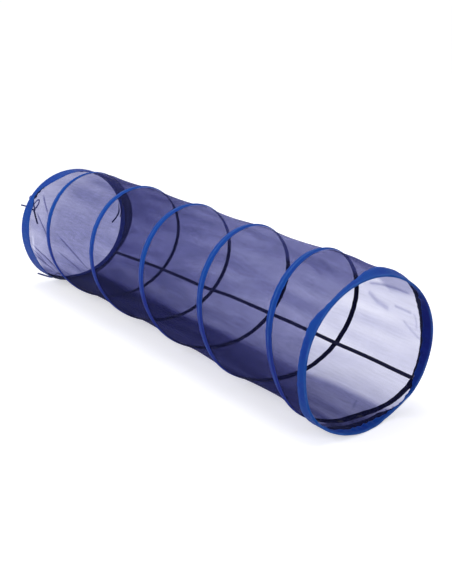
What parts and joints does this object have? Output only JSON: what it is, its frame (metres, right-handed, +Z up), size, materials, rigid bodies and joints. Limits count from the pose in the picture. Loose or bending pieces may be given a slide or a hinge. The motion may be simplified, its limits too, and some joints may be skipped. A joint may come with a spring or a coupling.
{
  "type": "play tunnel",
  "caption": "Pop-up crawl tunnel: a round tube of sheer mesh on one helical spring wire with cuffed end hoops, that pushes together along its length and springs back open.",
  "frame": {"origin": "on the floor under the middle of the tunnel, ribbons left out", "axes": "+X along the tunnel towards the near end, +Z up, -Y towards the near side"},
  "size_m": [1.9486, 0.4934, 0.4795],
  "materials": {
    "royal_nylon": "woven royal blue nylon",
    "lavender_mesh": "sheer knitted polyester mesh",
    "navy_tape": "woven navy binding tape",
    "navy_ribbon": "woven navy ribbon",
    "spring_steel": "bright drawn spring wire"
  },
  "bodies": {
    "far_end": {"far_cuff": "royal_nylon", "far_ferrule": "spring_steel", "spring_wire": "spring_steel", "mesh_far_gore": "lavender_mesh", "near_tie_ribbon_1": "navy_ribbon", "near_tie_ribbon_2": "navy_ribbon", "far_tie_ribbon_1": "navy_ribbon", "far_tie_ribbon_2": "navy_ribbon", "floor_tie_ribbon": "navy_ribbon"},
    "coil_1": {"casing_turn_1": "royal_nylon", "seam_binding_1": "navy_tape", "mesh_bay_1": "lavender_mesh"},
    "coil_2": {"casing_turn_2": "royal_nylon", "seam_binding_2": "navy_tape", "mesh_bay_2": "lavender_mesh"},
    "coil_3": {"casing_turn_3": "royal_nylon", "seam_binding_3": "navy_tape", "mesh_bay_3": "lavender_mesh"},
    "coil_4": {"casing_turn_4": "royal_nylon", "seam_binding_4": "navy_tape", "mesh_bay_4": "lavender_mesh"},
    "coil_5": {"casing_turn_5": "royal_nylon", "seam_binding_5": "navy_tape"},
    "near_end": {"near_cuff": "royal_nylon", "near_ferrule": "spring_steel", "mesh_near_gore": "lavender_mesh"}
  },
  "joints": [
    {"name": "collapse", "type": "slide", "parent": "far_end", "child": "near_end", "axis": [-1, 0, 0], "range_m": [0, 1.688], "stiffness_N_per_m": 6, "springref_m": -0.15, "deforming": ["spring_wire", "mesh_far_gore", "mesh_near_gore", "mesh_bay_1", "mesh_bay_2", "mesh_bay_3", "mesh_bay_4", "casing_turn_1", "casing_turn_2", "casing_turn_3", "casing_turn_4", "casing_turn_5", "seam_binding_1", "seam_binding_2", "seam_binding_3", "seam_binding_4", "seam_binding_5"]},
    {"name": "coil_1_slide", "type": "slide", "parent": "far_end", "child": "coil_1", "axis": [-1, 0, 0], "range_m": [0, 0.1679]},
    {"name": "coil_2_slide", "type": "slide", "parent": "far_end", "child": "coil_2", "axis": [-1, 0, 0], "range_m": [0, 0.5094]},
    {"name": "coil_3_slide", "type": "slide", "parent": "far_end", "child": "coil_3", "axis": [-1, 0, 0], "range_m": [0, 0.8508]},
    {"name": "coil_4_slide", "type": "slide", "parent": "far_end", "child": "coil_4", "axis": [-1, 0, 0], "range_m": [0, 1.1923]},
    {"name": "coil_5_slide", "type": "slide", "parent": "far_end", "child": "coil_5", "axis": [-1, 0, 0], "range_m": [0, 1.5338]}
  ],
  "couplings": [
    {"joint": "coil_1_slide", "follows": "collapse", "ratio": 0.09943},
    {"joint": "coil_2_slide", "follows": "collapse", "ratio": 0.30172},
    {"joint": "coil_3_slide", "follows": "collapse", "ratio": 0.50402},
    {"joint": "coil_4_slide", "follows": "collapse", "ratio": 0.70632},
    {"joint": "coil_5_slide", "follows": "collapse", "ratio": 0.90862}
  ]
}
